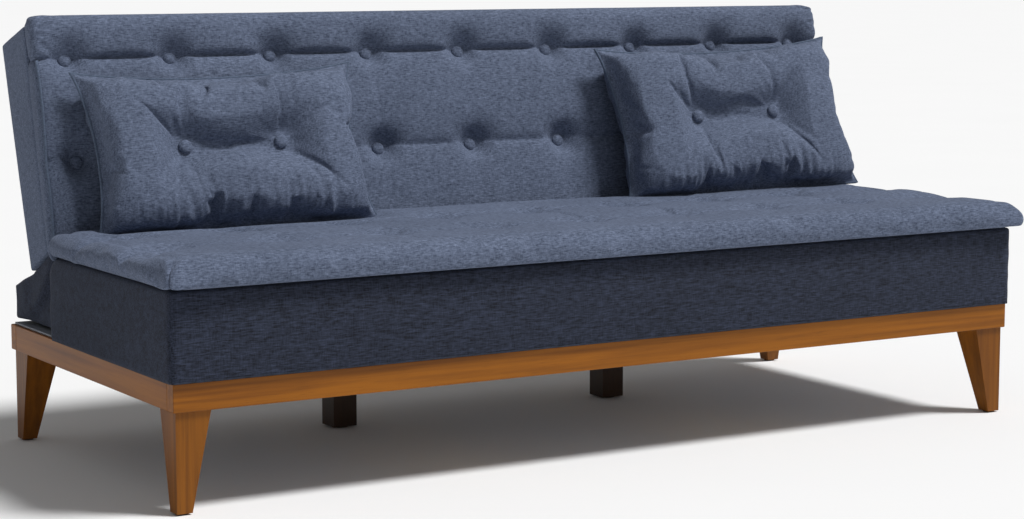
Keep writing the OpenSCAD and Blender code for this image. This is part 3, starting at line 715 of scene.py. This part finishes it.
class FUTON_OT_back_pad(bpy.types.Operator):
    """Build the tufted pad of the backrest and the piping up its ends"""

    bl_idname = "futon.back_pad"
    bl_label = "Backrest pad"

    def execute(self, context):
        sizes = context.scene.futon_sizes
        into = BACK.inverted()
        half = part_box("back_pad")[1].x
        lo = np.array([-half, PAD_FRONT, PAD_BOTTOM])
        hi = np.array([half, PAD_REAR, PAD_TOP])
        size = hi - lo
        cells = [round(size[0] / PAD_CELL), 6, round(size[2] / PAD_CELL)]
        pad = piece("back_pad_cushion", cell_block(lo, hi, cells), "denim_linen")
        spots = [into @ p for p in button_places("back_buttons")]
        high, low = max(p.z for p in spots), min(p.z for p in spots)
        columns = sorted({round(p.x, 4) for p in spots})
        pitch = columns[1] - columns[0]
        start = points(pad)
        # Rows of the grid crowd together at both creases, so that the creases are sharp.
        for line in (low, high):
            away = start[:, 2] - line
            near = np.abs(away) < PAD_CROWD
            packed = line + np.sign(away) * PAD_CROWD * (np.abs(away) / PAD_CROWD) ** 1.8
            start[:, 2] = np.where(near, packed, start[:, 2])
        # Only the front edges and the whole of the top are round.
        behind = np.zeros_like(start) + hi
        behind[start[:, 2] < high, 1] += 50 * MM
        rows = rounded(start, lo, behind, PAD_RADII)
        forward = smoothstep(-rows[:, 1], -hi[1], -lo[1])
        x, s = rows[:, 0].copy(), rows[:, 2].copy()
        side = nearest(x, columns)
        # The upper row is one long sewn crease under a smooth roll; the lower is softer.
        line = s - high - 3 * MM
        slope = np.where(line > 0, 8 * MM, 24 * MM)
        depth = sizes.crease_depth * furrow(line, slope, 0.5)
        line2 = s - low - 3 * MM
        slope = np.where(line2 > 0, 14 * MM, 24 * MM)
        soft = (0.40 + 0.60 * np.exp(-side / (45 * MM))) * PAD_SOFT_CREASE
        depth = np.maximum(depth, soft * furrow(line2, slope, 0.35))
        pinned = (forward < 0.25) | (np.abs(line) < 3 * MM) & (forward > 0.9)
        for spot in spots:
            up = s - spot.z - 2 * MM
            aside = x - spot.x
            far = np.hypot(aside / np.where(up > 0, 1.45, 1.15), up / np.where(up > 0, 1.15, 1.0))
            dimple = np.exp(-((np.maximum(far - 13 * MM, 0) / (15 * MM)) ** 1.2))
            depth = np.maximum(depth, PAD_DIMPLE * dimple)
            pinned |= (far < 15 * MM) & (forward > 0.5)
        # Below each button the cloth folds down in a soft upright line.
        below = np.where(s < low, low - s, high - s)
        fold = np.exp(-side / (8 * MM)) * np.exp(-below / (70 * MM)) * (s < high) * 3.5 * MM
        depth = np.maximum(depth, fold)
        share = np.where(s > low, (s - low) / (high - low), (s - lo[2]) / (low - lo[2]))
        between = np.sin(np.pi * np.clip(share, 0, 1)) ** 0.5
        plump = sizes.puff * between * (0.45 + 0.55 * np.sin(np.pi * np.clip(side / pitch, 0, 1)) ** 0.6)
        roll = np.sin(np.pi * np.clip((s - high) / (hi[2] - high), 0, 1))
        plump = np.where(s > high, 5 * MM * roll**0.6, plump)
        plump += crumple(rows, 90 * MM, 5) * 1.0 * MM
        rows[:, 1] += forward * (depth - plump)
        # The roll droops over the crease.
        droop = np.exp(-(((line - 13 * MM) / (10 * MM)) ** 2)) * (line > 0)
        rows[:, 2] -= forward * droop * PAD_DROOP
        # Each end thins towards the seat, keeps the crease, and is gathered above it.
        end = smoothstep(np.abs(x), half - 45 * MM, half)
        rows[:, 1] += forward * end * np.maximum(pad_rim(s) - PAD_FRONT, 0)
        cap = smoothstep(np.abs(x), half - 13 * MM, half - 1 * MM) * np.sign(x)
        rows[:, 0] -= cap * 7 * MM * np.exp(-np.abs(line) / (5 * MM))
        pleat = np.sin(2 * np.pi * (s + 0.3 * np.abs(x)) / (15 * MM) + 2 * crumple(rows, 30 * MM, 6))
        gather = smoothstep(np.abs(x), half - 75 * MM, half - 20 * MM)
        gather *= smoothstep(s, high + 8 * MM, high + 20 * MM)
        rows[:, 1] += forward * gather * pleat * PAD_GATHER
        rows[:, 0] += cap * gather * pleat * 1.5 * MM
        set_points(pad, rows)
        swell(pad, pinned, 3.0, 12, 0.012, 6 * MM)
        rows = points(pad)
        # The rear lies on the panel's sloping front, and the hinges have a gap at each end.
        rake = -6 * MM - 12 * MM * (rows[:, 2] - 10 * MM) / (418 * MM) - 1.2 * MM
        rows[:, 1] = np.minimum(rows[:, 1], rake)
        gap = smoothstep(np.abs(rows[:, 0]), HINGE_GAP[0] - 12 * MM, HINGE_GAP[0]) * (
            1 - smoothstep(np.abs(rows[:, 0]), HINGE_GAP[1], HINGE_GAP[1] + 12 * MM)
        )
        rows[:, 2] = np.maximum(rows[:, 2], PAD_BOTTOM + gap * 38 * MM)
        set_points(pad, rows)
        edges = [self.end_edge(rows, way, high) for way in (-1, 1)]
        place_on(pad, BACK)
        refine(pad)
        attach(pad, "back")
        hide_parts("back_pad")

        for name, path in zip(("left", "right"), edges):
            path = np.array([BACK @ Vector(p) for p in path])
            welt = cord_along("back_piping_" + name, path, sizes.piping * 0.8, "grey_piping", False)
            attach(welt, "back")
        return {"FINISHED"}

    def end_edge(self, rows, way, high):
        """The line of the pad's front end edge, from the seat up to the crease, where it tucks in."""
        path = []
        for h in np.linspace(4 * MM, high - 4 * MM, 48):
            near = rows[(np.abs(rows[:, 2] - h) < 6 * MM) & (way * rows[:, 0] > 0)]
            far = near[np.argmax(way * near[:, 0] - near[:, 1])]
            path.append([far[0], far[1], h])
        path = np.array(path)
        for _ in range(4):
            path[1:-1, :2] = (path[:-2, :2] + 2 * path[1:-1, :2] + path[2:, :2]) / 4
        path[:, 0] += way * 0.8 * MM
        path[:, 1] -= 0.8 * MM
        tuck = path[-1] + [-way * 5 * MM, 5 * MM, 3 * MM]
        return np.vstack([path, tuck])


# The panel's corners in the backrest's axes: lower and upper front, upper and lower rear.
PANEL = [(-6 * MM, 10 * MM), (-18 * MM, 428 * MM), (108 * MM, 420 * MM), (90 * MM, -12 * MM)]
PANEL_EDGE = 4 * MM
# Room round each hinge drum.
DRUM_ROOM = 25.5 * MM
# The dust cloth stops short of the panel's ends, and of its upper and lower edges by a share.
CLOTH_INSET = 16 * MM
CLOTH_SPAN = (0.04, 0.96)


def panel_point(u, w):
    """A place in the panel's outline: u runs from front to rear and w from bottom to top."""
    (a, b), (c, d), (e, f), (g, h) = PANEL
    v = (a * (1 - w) + c * w) * (1 - u) + (g * (1 - w) + e * w) * u
    s = (b * (1 - w) + d * w) * (1 - u) + (h * (1 - w) + f * w) * u
    return v, s


class FUTON_OT_back_panel(bpy.types.Operator):
    """Build the backrest panel's cover and its rear cloth"""

    bl_idname = "futon.back_panel"
    bl_label = "Backrest panel"

    def execute(self, context):
        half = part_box("back_cover")[1].x
        lo, hi = np.array([-half, 0.0, 0.0]), np.array([half, 110 * MM, 420 * MM])
        panel = piece("back_panel_cover", cell_block(lo, hi, (225, 14, 52)), "denim_linen")
        start = crowded(points(panel), lo, hi, 30 * MM, 1.5)
        rows = rounded(start, lo, hi, (PANEL_EDGE,) * 3)
        across = (rows - (lo + hi) / 2) / ((hi - lo) / 2)
        full = (1 - across[:, 1] ** 4) * (1 - across[:, 2] ** 4)
        ends = smoothstep(np.abs(across[:, 0]), 0.985, 1.0)
        ripple = crumple(rows * [1, 0.6, 2], 70 * MM, 7)
        rows[:, 0] += np.sign(across[:, 0]) * ends * full * (2.4 * MM + ripple * 1.2 * MM)
        rows[:, 2] += smoothstep(across[:, 2], 0.9, 1.0) * ripple * 1.2 * MM
        v, s = panel_point(rows[:, 1] / hi[1], rows[:, 2] / hi[2])
        rows[:, 1], rows[:, 2] = v - 0.5 * MM * (rows[:, 1] < hi[1] / 2), s
        # Round room for the hinge drum at each end.
        gap = (np.abs(rows[:, 0]) > HINGE_GAP[0]) & (np.abs(rows[:, 0]) < HINGE_GAP[1])
        far = np.hypot(v, s)
        room = gap & (far < DRUM_ROOM)
        rows[room, 1:] *= (DRUM_ROOM / far[room])[:, None]
        set_points(panel, rows)
        place_on(panel, BACK)
        refine(panel)
        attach(panel, "back")
        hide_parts("back_cover")

        # Dust cloth across the rear, with a folded hem.
        edge = half - CLOTH_INSET
        lo = np.array([-edge, 0.0, CLOTH_SPAN[0]])
        hi = np.array([edge, 0.02, CLOTH_SPAN[1]])
        cloth = piece("back_rear_sheet", cell_block(lo, hi, (120, 1, 30)), "black_cloth")
        rows = points(cloth)
        hem = np.minimum((edge - np.abs(rows[:, 0])) / (420 * MM), 0.46 - np.abs(rows[:, 2] - 0.5))
        lift = np.where(hem < 0.03, 2.2 * MM, 1.2 * MM)
        lift += crumple(rows * [1, 1, 0.42], 90 * MM, 8) * 0.8 * MM
        v, s = panel_point(np.ones(len(rows)), rows[:, 2])
        rows[:, 1] = v + np.where(rows[:, 1] > 0.01, lift, -1 * MM)
        rows[:, 2] = s
        set_points(cloth, rows)
        place_on(cloth, BACK)
        refine(cloth)
        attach(cloth, "back")
        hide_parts("back_rear_cloth")
        return {"FINISHED"}


# ---- Skirt ----

SKIRT_CLOTH = 2.5 * MM
SKIRT_SHOULDER = 64 * MM


class FUTON_OT_skirt(bpy.types.Operator):
    """Build the fabric skirt behind the seat"""

    bl_idname = "futon.skirt"
    bl_label = "Skirt"

    def execute(self, context):
        side_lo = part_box("skirt_left")[0]
        rear_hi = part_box("skirt_rear")[1]
        half, low, front, rear = rear_hi.x, side_lo.z, side_lo.y, rear_hi.y
        # The roof follows the backrest's lower edge, then falls gently to a shoulder.
        corners = [BACK @ Vector((0, *PANEL[i])) for i in (0, 3)]
        roof_y = [corners[0].y, corners[1].y + 2 * MM, rear]
        roof_z = [corners[0].z - 4 * MM, corners[1].z - 2 * MM, low + SKIRT_SHOULDER]
        lo, hi = np.array([-half, front, 0.0]), np.array([half, rear, 1.0])
        bm = cell_block(lo, hi, (150, 26, 16))
        # It is open below, towards the seat box and under the backrest.
        open_faces = [
            face for face in bm.faces
            if face.normal.y < -0.5 or face.normal.z < -0.5
            or (face.normal.z > 0.5 and face.calc_center_median().y < roof_y[1])
        ]
        bmesh.ops.delete(bm, geom=open_faces, context="FACES")
        for vert in bm.verts:
            x, y, h = vert.co
            roof = float(np.interp(y, roof_y, roof_z))
            way = math.copysign(1, x)
            end = abs(x) > half - 1 * MM
            z = low + h * (roof - low)
            if end:
                # One fold falls from the hinge to the lower rear corner, and the cloth below is drawn in.
                share = (y - front) / (rear - front)
                ridge = 1.06 - share - 0.16 * math.sin(math.pi * share)
                below = float(smoothstep(np.array([ridge - h]), 0.0, 0.20)[0])
                crease = noise.noise(Vector((y, z, 0.0)) / (40 * MM)) * 2 * MM
                vert.co.x = way * (half - below * 13 * MM * (1 - h * 0.4) + crease)
            if h > 0.99 or (y > rear - 1 * MM and not end):
                z += noise.noise(Vector((x, y, 3.0)) / (60 * MM)) * 1.5 * MM * h
            if y > rear - 1 * MM:
                wander = noise.noise(Vector((x, z, 5.0)) / (70 * MM)) * 3 * MM
                vert.co.y = y - 6 * MM * math.sin(math.pi * h) + wander
            vert.co.z = z
        bmesh.ops.recalc_face_normals(bm, faces=bm.faces)
        area = sum(face.calc_area() for face in bm.faces)
        bmesh.ops.solidify(bm, geom=bm.faces, thickness=SKIRT_CLOTH)
        skirt = piece("rear_skirt", bm, "navy_linen")
        refine(skirt)
        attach(skirt, "base")
        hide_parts("skirt_left", "skirt_right", "skirt_rear")
        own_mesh(skirt)
        return {"FINISHED"}


# ---- Pillows ----

PILLOW_CELL = 5 * MM
PILLOW_LEAN = math.radians(6)
# The cloth's width and height over the finished pillow's, and the flat start's thickness.
PILLOW_CLOTH = (1.06, 1.10)
PILLOW_RIM = 8 * MM
PILLOW_DOME = 20 * MM
PILLOW_CROWN = 60 * MM
# How far in from the seam the cloth is kept level, and how far it takes to rise.
PILLOW_BAND = 20 * MM
PILLOW_SLOPE = 34 * MM
# How far the outline bows in: at the ends, along the top and along the bottom.
PILLOW_BOWS = (26 * MM, 22 * MM, 1 * MM)
PILLOW_VALLEY = 9 * MM
PILLOW_PLEATS = (8 * MM, 3 * MM)
PILLOW_REST = 40 * MM
# The buttons are drawn in to this far from the middle of a pillow.
PILLOW_BUTTON_DEPTH = 26 * MM
# How each loose pillow lies: moved from its place, turned in its own plane, and grown in width and height.
PILLOW_SET = {
    "left": ((9 * MM, -1 * MM, -14 * MM), 0.8, (-2 * MM, 8 * MM), 11),
    "right": ((9 * MM, -6 * MM, 4 * MM), 1.5, (22 * MM, 20 * MM), 12),
}


def pillow_place(side):
    """From a pillow's own axes to the sofa's, the pillow's size, and its buttons' places across it."""
    into = BACK.inverted()
    move, roll, grown, _ = PILLOW_SET[side]
    local = np.array([into @ v.co for v in frame["nodes"]["pillow_" + side].data.vertices])
    lo, hi = local.min(0), local.max(0)
    middle = Vector((lo + hi) / 2)
    turn = Matrix.Rotation(-PILLOW_LEAN, 4, "X") @ Matrix.Rotation(-math.radians(roll), 4, "Y")
    place = Matrix.Translation(move) @ BACK @ Matrix.Translation(middle) @ turn
    found = [into @ p - middle for p in button_places("pillow_" + side + "_buttons")]
    buttons = [Vector((p.x, -PILLOW_BUTTON_DEPTH, p.z)) for p in found]
    return place, np.array([hi[0] - lo[0] + grown[0], hi[2] - lo[2] + grown[1]]), buttons


def pillow_foot(side):
    """A pillow's place, the middle of its lower edge, and half its width."""
    place, size, _ = pillow_place(side)
    return place, place @ Vector((0, 0, -size[1] / 2)), size[0] / 2


class FUTON_OT_pillows(bpy.types.Operator):
    """Build the two loose pillows with their piping"""

    bl_idname = "futon.pillows"
    bl_label = "Loose pillows"

    def execute(self, context):
        for side in PILLOW_SET:
            self.build(context, side)
        return {"FINISHED"}

    def build(self, context, side):
        sizes = context.scene.futon_sizes
        seed = PILLOW_SET[side][3]
        place, (wide, tall), buttons = pillow_place(side)
        flat = np.array([wide * PILLOW_CLOTH[0], PILLOW_RIM, tall * PILLOW_CLOTH[1]])
        cells = [round(flat[0] / PILLOW_CELL), 2, round(flat[2] / PILLOW_CELL)]
        block = cell_block(-flat / 2, flat / 2, cells)
        pillow = piece("pillow_" + side + "_cushion", block, "denim_linen")
        rows = points(pillow)
        # The seam runs through the middle of the thin rim; its points are put in order.
        rim = np.nonzero(np.abs(rows[:, 1]) < 0.1 * MM)[0]
        rim = rim[np.argsort(np.arctan2(rows[rim, 2] / flat[2], rows[rim, 0] / flat[0]))]
        a, b = rows[:, 0] / (flat[0] / 2), rows[:, 2] / (flat[2] / 2)
        dome = (1 - a**4) * (1 - b**4)
        face = np.sign(rows[:, 1])
        rows[:, 1] += face * dome * PILLOW_DOME
        pinned = [np.hypot(rows[:, 0] - p.x, rows[:, 2] - p.z) < 12 * MM for p in buttons]
        rows[:, 1] += face * dome * crumple(rows, 60 * MM, seed) * 2 * MM
        set_points(pillow, rows)
        swell(pillow, np.any(pinned, axis=0), sizes.pillow_fill, 24, 0.02, 45 * MM, 10.0)
        rows = points(pillow)
        inside = np.minimum((1 - np.abs(a)) * wide, (1 - np.abs(b)) * tall) / 2
        self.fit_outline(rows, rim, a, b, wide, tall, inside)
        # The seam is drawn nearly straight, and the cloth at each button comes back under it.
        _, pair = np.unique(np.round(np.stack([a, b], axis=1), 4), axis=0, return_inverse=True)
        pair = pair.ravel()
        rows[:, 1] -= 0.8 * (np.bincount(pair, rows[:, 1]) / np.bincount(pair))[pair]
        for button, held in zip(buttons, pinned):
            off = rows[held].mean(0) - np.array([button.x, 0, button.z])
            far = np.hypot(rows[:, 0] - button.x - off[0], rows[:, 2] - button.z - off[2])
            rows[:, ::2] -= off[::2] * np.exp(-((far / (70 * MM)) ** 2))[:, None]
        # Both layers meet at the seam.
        edge = (np.abs(a) > 0.999) | (np.abs(b) > 0.999)
        middle_of = np.zeros(pair.max() + 1, int)
        middle_of[pair[rim]] = rim
        rows[edge] = rows[middle_of[pair[edge]]]
        rows[edge, 1] += face[edge] * 2 * MM
        # A crown each way, with a valley along the buttons and gathers along both long seams.
        crest = np.percentile(np.abs(rows[:, 1]), 99)
        rows[:, 1] *= PILLOW_CROWN / crest
        # The cloth leaves the seam at a slope, as a knife edge does.
        rows[:, 1] *= np.where(edge, 1, np.clip((inside + 2 * MM) / PILLOW_SLOPE, 0, 1) ** 0.5)
        spread = max(button.x for button in buttons)
        inner = 1 - smoothstep(np.abs(rows[:, 0]), spread, spread + 45 * MM)
        valley = inner * np.exp(-np.abs(rows[:, 2]) / (15 * MM)) * PILLOW_VALLEY
        pleat = np.array([noise.noise(Vector((r[0] / (8 * MM), r[2] / (90 * MM), seed))) for r in rows])
        lower = smoothstep(-b, 0.25, 0.80) * (1 - smoothstep(-b, 0.94, 1.0))
        lower *= 1 - smoothstep(np.abs(a), 0.55, 0.9)
        upper = smoothstep(b, 0.45, 0.9) * (1 - smoothstep(b, 0.94, 1.0))
        upper *= 1 - smoothstep(np.abs(a), 0.45, 0.8)
        front = np.where(face < 0, 1.0, 0.5)
        gathers = lower * PILLOW_PLEATS[0] + upper * PILLOW_PLEATS[1]
        rows[:, 1] += face * (pleat * gathers - valley * front)
        # Each button draws both layers in, and the cloth is level under it.
        for button in buttons:
            far = np.hypot(rows[:, 0] - button.x, rows[:, 2] - button.z)
            drawn = np.exp(-((np.maximum(far - 14 * MM, 0) / (19 * MM)) ** 1.3))
            drawn = drawn * (face != 0)
            rows[:, 1] += drawn * (face * (PILLOW_BUTTON_DEPTH - 2 * MM) - rows[:, 1])
        # It flattens where it leans on the backrest pad.
        past = rows[:, 1] - PILLOW_REST
        rows[:, 1] = np.where(past > 0, PILLOW_REST + past * 0.2, rows[:, 1])
        set_points(pillow, rows)
        cord = [place @ Vector(rows[i]) for i in rim]
        place_on(pillow, place)
        refine(pillow)
        body = "loose_pillow_" + side
        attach(pillow, body)
        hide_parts("pillow_" + side)
        name = "pillow_" + side + "_piping"
        piping = cord_along(name, np.array(cord), sizes.piping * 0.85, "grey_piping", True)
        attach(piping, body)

    def fit_outline(self, rows, rim, a, b, wide, tall, inside):
        """Draws the outline to its sewn size, bowed in between the corners."""
        side, top, bottom = PILLOW_BOWS
        before = rows.copy()
        for axis, length, across, along, bows in (
            (0, wide, a, b, {1: side, -1: side}),
            (2, tall, b, a, {1: top, -1: bottom}),
        ):
            reach = {}
            for way, bow in bows.items():
                on = rim[across[rim] * way > 0.999]
                on = on[np.argsort(along[on])]
                seen = np.abs(before[on, axis])
                target = self.sewn(length, bow, along[on])
                reach[way] = np.interp(along, along[on], target / np.maximum(seen, 1e-6))
            share = np.where(before[:, axis] > 0, reach[1], reach[-1])
            rows[:, axis] = before[:, axis] * share
            # Beside the seam the cloth lies between its own edges and doesn't bulge past them.
            level = across * self.sewn(length, np.where(across > 0, bows[1], bows[-1]), along)
            held = np.exp(-((inside / PILLOW_BAND) ** 2))
            rows[:, axis] += held * (level - rows[:, axis])

    def sewn(self, length, bow, along):
        """Half the pillow's width or height, from corner to corner along a side."""
        return length / 2 - bow * np.clip(1 - along**2, 0, 1) ** 0.8


# ---- Buttons ----

BUTTON_RADIUS = 13.5 * MM
BUTTON_DOME = 0.5


class FUTON_OT_buttons(bpy.types.Operator):
    """Build the covered buttons of the backrest, the seat and the pillows"""

    bl_idname = "futon.buttons"
    bl_label = "Buttons"

    def execute(self, context):
        lean = BACK.to_3x3() @ Vector((0, -1, 0))
        groups = {
            "back_buttons": ("back", lean, button_places("back_buttons")),
            "seat_pad_buttons": ("base", Vector((0, 0, 1)), button_places("seat_pad_buttons")),
        }
        for side in PILLOW_SET:
            place, _, buttons = pillow_place(side)
            name = "pillow_" + side + "_buttons"
            facing = place.to_3x3() @ Vector((0, -1, 0))
            groups[name] = ("loose_pillow_" + side, facing, [place @ b for b in buttons])
        for name, (body, facing, places) in groups.items():
            bm = bmesh.new()
            turn = facing.to_track_quat("Z", "Y").to_matrix().to_4x4()
            for spot in places:
                matrix = Matrix.Translation(spot) @ turn @ Matrix.Diagonal((1, 1, BUTTON_DOME, 1))
                bmesh.ops.create_uvsphere(
                    bm, u_segments=24, v_segments=12, radius=BUTTON_RADIUS, matrix=matrix
                )
            buttons = piece(name + "_covered", bm, "denim_linen")
            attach(buttons, body)
            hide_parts(name)
        return {"FINISHED"}


# ---- Stage ----

CAMERA_PLACE = (-2.44399, -3.99908, 0.91667)
CAMERA_YAW = math.radians(31.1189)
CAMERA_PITCH = math.radians(-7.1618)
CAMERA_LENS = 85.56
CAMERA_SENSOR = 36.0
# The key light stands to the front right and above, as wide as a large softbox.
KEY_FROM = (0.42, -0.34, 0.84)
KEY_STRENGTH = 3.15
KEY_SPREAD = 16
SKY_STRENGTH = 0.24


class FUTON_OT_stage(bpy.types.Operator):
    """Set up the floor, the lights and the camera"""

    bl_idname = "futon.stage"
    bl_label = "Stage"

    def execute(self, context):
        scene = context.scene
        scene.view_settings.view_transform = "Standard"
        bm = bmesh.new()
        bmesh.ops.create_circle(bm, cap_ends=True, segments=96, radius=90)
        floor = piece("floor", bm, "pale_floor")
        world = bpy.data.worlds.new("Studio")
        world.use_nodes = True
        sky = world.node_tree.nodes["Background"]
        sky.inputs["Color"].default_value = (1, 1, 1, 1)
        sky.inputs["Strength"].default_value = SKY_STRENGTH
        scene.world = world
        lamp = bpy.data.lights.new("Key", "SUN")
        lamp.energy, lamp.angle = KEY_STRENGTH, math.radians(KEY_SPREAD)
        key = bpy.data.objects.new("Key", lamp)
        key.location = Vector(KEY_FROM) * 5
        key.rotation_euler = (-Vector(KEY_FROM)).to_track_quat("-Z", "Y").to_euler()
        scene.collection.objects.link(key)
        camera = bpy.data.cameras.new("Camera")
        camera.lens, camera.sensor_width = CAMERA_LENS, CAMERA_SENSOR
        camera.clip_start, camera.clip_end = 0.1, 200
        eye = bpy.data.objects.new("Camera", camera)
        eye.location = CAMERA_PLACE
        ahead = Vector((
            math.sin(CAMERA_YAW) * math.cos(CAMERA_PITCH),
            math.cos(CAMERA_YAW) * math.cos(CAMERA_PITCH),
            math.sin(CAMERA_PITCH),
        ))
        eye.rotation_euler = ahead.to_track_quat("-Z", "Y").to_euler()
        scene.collection.objects.link(eye)
        scene.camera = eye
        return {"FINISHED"}


# ---- Panel and registration ----

PROPERTY_GROUPS = [FutonSizes, FutonColours]
OPERATORS = [
    FUTON_OT_woodwork, FUTON_OT_metalwork, FUTON_OT_seat_box, FUTON_OT_seat_pad,
    FUTON_OT_back_pad, FUTON_OT_back_panel, FUTON_OT_skirt, FUTON_OT_pillows,
    FUTON_OT_buttons, FUTON_OT_stage,
]


class FUTON_PT_pieces(bpy.types.Panel):
    """The sofa's pieces, sizes and colours"""

    bl_label = "Futon sofa bed"
    bl_space_type = "VIEW_3D"
    bl_region_type = "UI"
    bl_category = "Futon"

    def draw(self, context):
        for group in (context.scene.futon_sizes, context.scene.futon_colours):
            column = self.layout.column()
            for key in group.bl_rna.properties.keys():
                if key not in ("rna_type", "name"):
                    column.prop(group, key)
        for operator in OPERATORS:
            self.layout.operator(operator.bl_idname)


CLASSES = [*PROPERTY_GROUPS, *OPERATORS, FUTON_PT_pieces]


def register():
    """Registers the classes and the scene's settings."""
    for cls in CLASSES:
        bpy.utils.register_class(cls)
    bpy.types.Scene.futon_sizes = bpy.props.PointerProperty(type=FutonSizes)
    bpy.types.Scene.futon_colours = bpy.props.PointerProperty(type=FutonColours)


def unregister():
    """Takes the classes and the scene's settings away."""
    del bpy.types.Scene.futon_colours
    del bpy.types.Scene.futon_sizes
    for cls in reversed(CLASSES):
        bpy.utils.unregister_class(cls)


def main():
    """Builds every piece."""
    register()
    for operator in OPERATORS:
        group, name = operator.bl_idname.split(".")
        getattr(getattr(bpy.ops, group), name)()


if __name__ == "__main__":
    main()
